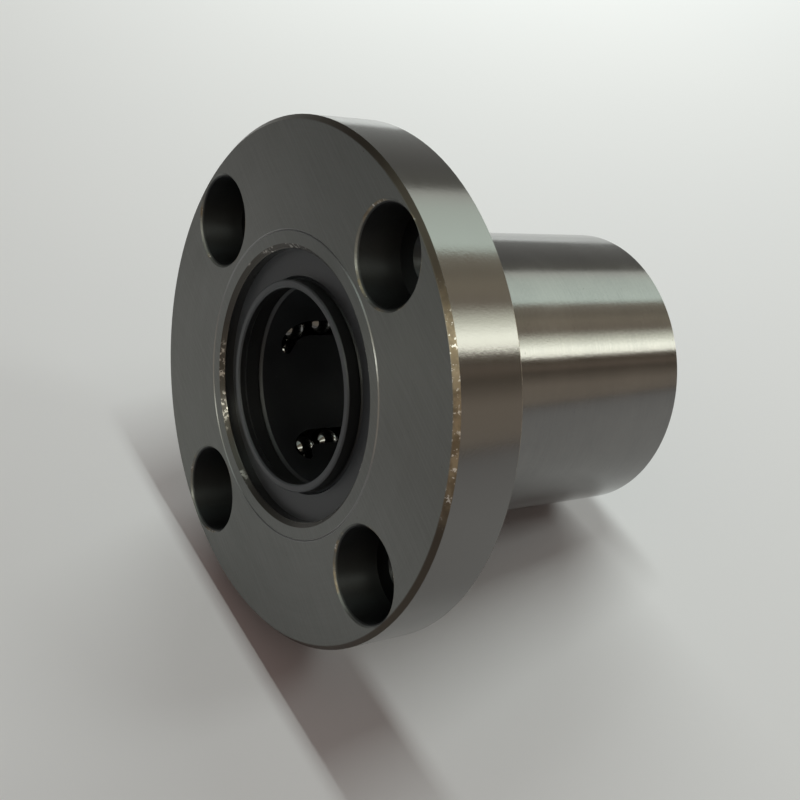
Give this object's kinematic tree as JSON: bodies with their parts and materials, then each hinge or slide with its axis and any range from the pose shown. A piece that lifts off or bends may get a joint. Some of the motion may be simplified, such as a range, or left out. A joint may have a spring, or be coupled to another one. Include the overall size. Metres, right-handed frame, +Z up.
{
  "type": "flanged linear ball bushing",
  "caption": "Flanged linear ball bushing: a steel sleeve in a pressed-on flange ring, with a ball retainer, closed ball circuits, retaining rings and lipped rubber seals.",
  "frame": {"origin": "where the bore axis crosses the flange's mounting face, the face that the sleeve stands out of", "axes": "+X along the bore axis from the flange towards the free end of the sleeve, +Z up, +Y completes a right-handed frame"},
  "size_m": [0.042, 0.054, 0.054],
  "materials": {
    "sleeve_steel": "fine ground and polished",
    "flange_steel": "ground, with turned marks on its faces",
    "retainer_resin": "black moulded resin",
    "seal_rubber": "black satin rubber",
    "plate_steel": "pressed sheet",
    "spring_steel": "dark phosphate",
    "ball_steel": "lapped"
  },
  "bodies": {
    "shell": {"outer_sleeve": "sleeve_steel", "flange": "flange_steel", "ball_retainer": "retainer_resin", "front_seal_lip": "seal_rubber", "front_seal_plate": "plate_steel", "front_retaining_ring": "spring_steel", "rear_seal_lip": "seal_rubber", "rear_seal_plate": "plate_steel", "rear_retaining_ring": "spring_steel"},
    "loaded_row_1": {"loaded_balls_1": "ball_steel"},
    "return_row_1": {"return_balls_1": "ball_steel"},
    "front_turn_1": {"front_turn_balls_1": "ball_steel"},
    "rear_turn_1": {"rear_turn_balls_1": "ball_steel"},
    "loaded_row_2": {"loaded_balls_2": "ball_steel"},
    "return_row_2": {"return_balls_2": "ball_steel"},
    "front_turn_2": {"front_turn_balls_2": "ball_steel"},
    "rear_turn_2": {"rear_turn_balls_2": "ball_steel"},
    "loaded_row_3": {"loaded_balls_3": "ball_steel"},
    "return_row_3": {"return_balls_3": "ball_steel"},
    "front_turn_3": {"front_turn_balls_3": "ball_steel"},
    "rear_turn_3": {"rear_turn_balls_3": "ball_steel"},
    "loaded_row_4": {"loaded_balls_4": "ball_steel"},
    "return_row_4": {"return_balls_4": "ball_steel"},
    "front_turn_4": {"front_turn_balls_4": "ball_steel"},
    "rear_turn_4": {"rear_turn_balls_4": "ball_steel"},
    "loaded_row_5": {"loaded_balls_5": "ball_steel"},
    "return_row_5": {"return_balls_5": "ball_steel"},
    "front_turn_5": {"front_turn_balls_5": "ball_steel"},
    "rear_turn_5": {"rear_turn_balls_5": "ball_steel"}
  },
  "joints": [
    {"name": "circuit_1", "type": "slide", "parent": "shell", "child": "loaded_row_1", "axis": [1, 0, 0], "range_m": [-0.0018, 0.0018]},
    {"name": "return_1", "type": "slide", "parent": "shell", "child": "return_row_1", "axis": [1, 0, 0], "range_m": [-0.0018, 0.0018]},
    {"name": "front_turn_1", "type": "hinge", "parent": "shell", "child": "front_turn_1", "pos_m": [0.00036, 0.00455, 0.01084], "axis": [0, 0.2281, 0.9736], "range_deg": [-45, 45]},
    {"name": "rear_turn_1", "type": "hinge", "parent": "shell", "child": "rear_turn_1", "pos_m": [0.02564, 0.00455, 0.01084], "axis": [0, 0.2281, 0.9736], "range_deg": [-45, 45]},
    {"name": "circuit_2", "type": "slide", "parent": "shell", "child": "loaded_row_2", "axis": [1, 0, 0], "range_m": [-0.0018, 0.0018]},
    {"name": "return_2", "type": "slide", "parent": "shell", "child": "return_row_2", "axis": [1, 0, 0], "range_m": [-0.0018, 0.0018]},
    {"name": "front_turn_2", "type": "hinge", "parent": "shell", "child": "front_turn_2", "pos_m": [0.00036, -0.0089, 0.00768], "axis": [0, -0.8555, 0.5178], "range_deg": [-45, 45]},
    {"name": "rear_turn_2", "type": "hinge", "parent": "shell", "child": "rear_turn_2", "pos_m": [0.02564, -0.0089, 0.00768], "axis": [0, -0.8555, 0.5178], "range_deg": [-45, 45]},
    {"name": "circuit_3", "type": "slide", "parent": "shell", "child": "loaded_row_3", "axis": [1, 0, 0], "range_m": [-0.0018, 0.0018]},
    {"name": "return_3", "type": "slide", "parent": "shell", "child": "return_row_3", "axis": [1, 0, 0], "range_m": [-0.0018, 0.0018]},
    {"name": "front_turn_3", "type": "hinge", "parent": "shell", "child": "front_turn_3", "pos_m": [0.00036, -0.01005, -0.00609], "axis": [0, -0.7568, -0.6536], "range_deg": [-45, 45]},
    {"name": "rear_turn_3", "type": "hinge", "parent": "shell", "child": "rear_turn_3", "pos_m": [0.02564, -0.01005, -0.00609], "axis": [0, -0.7568, -0.6536], "range_deg": [-45, 45]},
    {"name": "circuit_4", "type": "slide", "parent": "shell", "child": "loaded_row_4", "axis": [1, 0, 0], "range_m": [-0.0018, 0.0018]},
    {"name": "return_4", "type": "slide", "parent": "shell", "child": "return_row_4", "axis": [1, 0, 0], "range_m": [-0.0018, 0.0018]},
    {"name": "front_turn_4", "type": "hinge", "parent": "shell", "child": "front_turn_4", "pos_m": [0.00036, 0.00269, -0.01145], "axis": [0, 0.3877, -0.9218], "range_deg": [-45, 45]},
    {"name": "rear_turn_4", "type": "hinge", "parent": "shell", "child": "rear_turn_4", "pos_m": [0.02564, 0.00269, -0.01145], "axis": [0, 0.3877, -0.9218], "range_deg": [-45, 45]},
    {"name": "circuit_5", "type": "slide", "parent": "shell", "child": "loaded_row_5", "axis": [1, 0, 0], "range_m": [-0.0018, 0.0018]},
    {"name": "return_5", "type": "slide", "parent": "shell", "child": "return_row_5", "axis": [1, 0, 0], "range_m": [-0.0018, 0.0018]},
    {"name": "front_turn_5", "type": "hinge", "parent": "shell", "child": "front_turn_5", "pos_m": [0.00036, 0.01172, -0.00098], "axis": [0, 0.9965, 0.0839], "range_deg": [-45, 45]},
    {"name": "rear_turn_5", "type": "hinge", "parent": "shell", "child": "rear_turn_5", "pos_m": [0.02564, 0.01172, -0.00098], "axis": [0, 0.9965, 0.0839], "range_deg": [-45, 45]}
  ],
  "couplings": [
    {"joint": "return_1", "follows": "circuit_1", "ratio": -1},
    {"joint": "front_turn_1", "follows": "circuit_1", "rad_per_m": 434.78},
    {"joint": "rear_turn_1", "follows": "circuit_1", "rad_per_m": 434.78},
    {"joint": "return_2", "follows": "circuit_2", "ratio": -1},
    {"joint": "front_turn_2", "follows": "circuit_2", "rad_per_m": 434.78},
    {"joint": "rear_turn_2", "follows": "circuit_2", "rad_per_m": 434.78},
    {"joint": "return_3", "follows": "circuit_3", "ratio": -1},
    {"joint": "front_turn_3", "follows": "circuit_3", "rad_per_m": 434.78},
    {"joint": "rear_turn_3", "follows": "circuit_3", "rad_per_m": 434.78},
    {"joint": "return_4", "follows": "circuit_4", "ratio": -1},
    {"joint": "front_turn_4", "follows": "circuit_4", "rad_per_m": 434.78},
    {"joint": "rear_turn_4", "follows": "circuit_4", "rad_per_m": 434.78},
    {"joint": "return_5", "follows": "circuit_5", "ratio": -1},
    {"joint": "front_turn_5", "follows": "circuit_5", "rad_per_m": 434.78},
    {"joint": "rear_turn_5", "follows": "circuit_5", "rad_per_m": 434.78}
  ]
}
